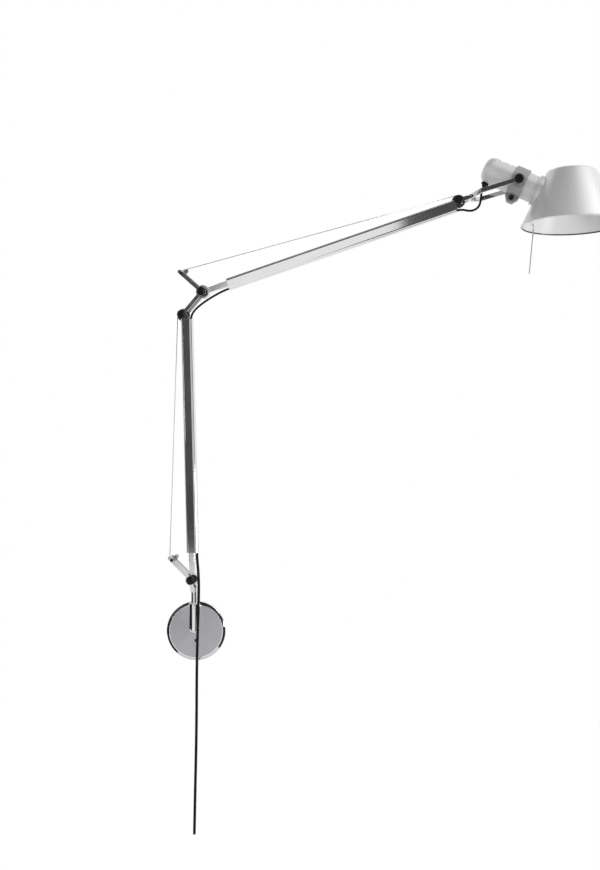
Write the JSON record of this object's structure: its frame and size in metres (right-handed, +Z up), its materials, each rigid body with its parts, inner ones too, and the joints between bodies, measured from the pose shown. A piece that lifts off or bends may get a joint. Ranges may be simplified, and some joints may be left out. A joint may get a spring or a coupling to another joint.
{
  "type": "articulating wall lamp",
  "caption": "Wall lamp with a swivelling bracket, spring balanced square-tube arms on a V-shaped elbow, a forked tilting head and a conical reflector with a pull rod.",
  "frame": {"origin": "centre of the wall plate's back face, where it meets the wall", "axes": "+X to the right along the wall seen from the room, +Y into the wall, +Z up"},
  "size_m": [0.79, 0.2282, 1.185],
  "materials": {
    "grey_paint": "satin silver grey paint",
    "pale_alloy": "satin anodised extrusion",
    "black_metal": "satin black",
    "bright_metal": "polished",
    "steel": "plain zinc-plated steel",
    "spring_steel": "plain spring wire",
    "black_plastic": "fine matt",
    "white_ceramic": "glazed",
    "shade_paint": "satin lacquered outside, white inside",
    "cord_black": "smooth matt sheath",
    "bush_plastic": "plain"
  },
  "bodies": {
    "wall_base": {"wall_plate": "steel", "wall_rose": "grey_paint", "bracket_stud": "steel", "rose_screw": "steel", "bracket": "bright_metal", "swivel_bush": "bush_plastic"},
    "foot": {"foot_fork": "pale_alloy", "foot_lever_pin": "black_metal", "foot_axle": "steel", "foot_nut": "steel"},
    "foot_knob": {"foot_knob": "black_plastic"},
    "lower_arm": {"lower_arm_tube": "pale_alloy", "lower_arm_near_end": "pale_alloy", "lower_arm_far_end": "pale_alloy", "lower_arm_wire": "steel", "lower_arm_inner_wire": "steel", "lower_arm_spring": "spring_steel", "lower_arm_cable": "cord_black", "mains_cord": "cord_black"},
    "lower_pulley": {"lower_arm_pulley": "black_plastic"},
    "elbow": {"elbow_plate_front": "black_metal", "elbow_plate_rear": "black_metal", "elbow_lever_pin": "black_metal", "elbow_lower_axle": "steel", "elbow_upper_axle": "steel", "elbow_nuts": "steel", "elbow_cable": "cord_black"},
    "elbow_lower_knob": {"elbow_lower_knob": "black_plastic"},
    "elbow_upper_knob": {"elbow_upper_knob": "black_plastic"},
    "upper_arm": {"upper_arm_tube": "pale_alloy", "upper_arm_near_end": "pale_alloy", "upper_arm_far_end": "pale_alloy", "upper_arm_wire": "steel", "upper_arm_inner_wire": "steel", "upper_arm_spring": "spring_steel", "upper_arm_cable": "cord_black"},
    "upper_pulley": {"upper_arm_pulley": "black_plastic"},
    "head_link": {"head_link": "black_metal", "swivel_ring": "bright_metal", "swivel_screw": "steel", "head_link_axle": "steel", "head_link_nut": "steel"},
    "head_link_knob": {"head_link_knob": "black_plastic"},
    "fork": {"head_fork": "black_metal"},
    "head": {"head_housing": "grey_paint", "clamp_ring": "grey_paint", "clamp_screw": "steel", "tilt_pins": "steel", "cable_gland": "black_plastic", "lamp_holder": "white_ceramic", "shade_ring_nut": "steel", "head_cable": "cord_black"},
    "tilt_knob": {"tilt_knob": "black_plastic"},
    "shade": {"shade": "shade_paint", "handle_rod": "bright_metal", "handle_sleeve": "black_plastic"}
  },
  "joints": [
    {"name": "wall_swivel", "type": "hinge", "parent": "wall_base", "child": "foot", "pos_m": [0, -0.04, 0], "axis": [0, 0, 1], "range_deg": [-167, 5]},
    {"name": "foot_tilt", "type": "hinge", "parent": "foot", "child": "lower_arm", "pos_m": [-0.00336, -0.03947, 0.0983], "axis": [0.1564, 0.9877, 0], "range_deg": [-20, 95], "deforming": ["lower_arm_wire", "lower_arm_inner_wire", "mains_cord"]},
    {"name": "elbow_lower", "type": "hinge", "parent": "lower_arm", "child": "elbow", "pos_m": [-0.01977, -0.03687, 0.57401], "axis": [-0.1564, -0.9877, 0], "range_deg": [-60, 60], "deforming": ["elbow_cable"]},
    {"name": "elbow_upper", "type": "hinge", "parent": "elbow", "child": "upper_arm", "pos_m": [0.01598, -0.04253, 0.61463], "axis": [0.1564, 0.9877, 0], "range_deg": [-50, 70], "deforming": ["upper_arm_wire", "upper_arm_inner_wire"]},
    {"name": "head_hinge", "type": "hinge", "parent": "upper_arm", "child": "head_link", "pos_m": [0.46336, -0.11339, 0.76093], "axis": [0.1564, 0.9877, 0], "range_deg": [-80, 80], "deforming": ["head_cable"]},
    {"name": "fork_swivel", "type": "hinge", "parent": "head_link", "child": "fork", "pos_m": [0.46336, -0.11339, 0.76093], "axis": [0.9545, -0.1512, 0.2571], "range_deg": [-170, 170]},
    {"name": "head_tilt", "type": "hinge", "parent": "fork", "child": "head", "pos_m": [0.56263, -0.12911, 0.78767], "axis": [-0.1564, -0.9877, 0], "range_deg": [-60, 120]},
    {"name": "shade_turn", "type": "hinge", "parent": "head", "child": "shade", "pos_m": [0.59557, -0.13433, 0.77398], "axis": [0.8915, -0.1412, -0.4305], "range_deg": [-175, 175]},
    {"name": "lower_pulley_spin", "type": "hinge", "parent": "lower_arm", "child": "lower_pulley", "pos_m": [-0.01977, -0.03687, 0.57401], "axis": [0.1564, 0.9877, 0], "range_deg": [-352, 82]},
    {"name": "upper_pulley_spin", "type": "hinge", "parent": "upper_arm", "child": "upper_pulley", "pos_m": [0.46336, -0.11339, 0.76093], "axis": [0.1564, 0.9877, 0], "range_deg": [-311, 225]},
    {"name": "foot_knob_turn", "type": "hinge", "parent": "foot", "child": "foot_knob", "pos_m": [-0.00336, -0.03947, 0.0983], "axis": [0.1564, 0.9877, 0], "range_deg": [0, 360]},
    {"name": "elbow_lower_knob_turn", "type": "hinge", "parent": "elbow", "child": "elbow_lower_knob", "pos_m": [-0.01977, -0.03687, 0.57401], "axis": [0.1564, 0.9877, 0], "range_deg": [0, 360]},
    {"name": "elbow_upper_knob_turn", "type": "hinge", "parent": "elbow", "child": "elbow_upper_knob", "pos_m": [0.01598, -0.04253, 0.61463], "axis": [0.1564, 0.9877, 0], "range_deg": [0, 360]},
    {"name": "head_link_knob_turn", "type": "hinge", "parent": "head_link", "child": "head_link_knob", "pos_m": [0.46336, -0.11339, 0.76093], "axis": [0.1564, 0.9877, 0], "range_deg": [0, 360]},
    {"name": "tilt_knob_turn", "type": "hinge", "parent": "head", "child": "tilt_knob", "pos_m": [0.56263, -0.12911, 0.78767], "axis": [0.1564, 0.9877, 0], "range_deg": [0, 360]}
  ],
  "couplings": [
    {"joint": "lower_pulley_spin", "follows": "foot_tilt", "ratio": -3.6},
    {"joint": "upper_pulley_spin", "follows": "elbow_upper", "ratio": -4.3}
  ]
}
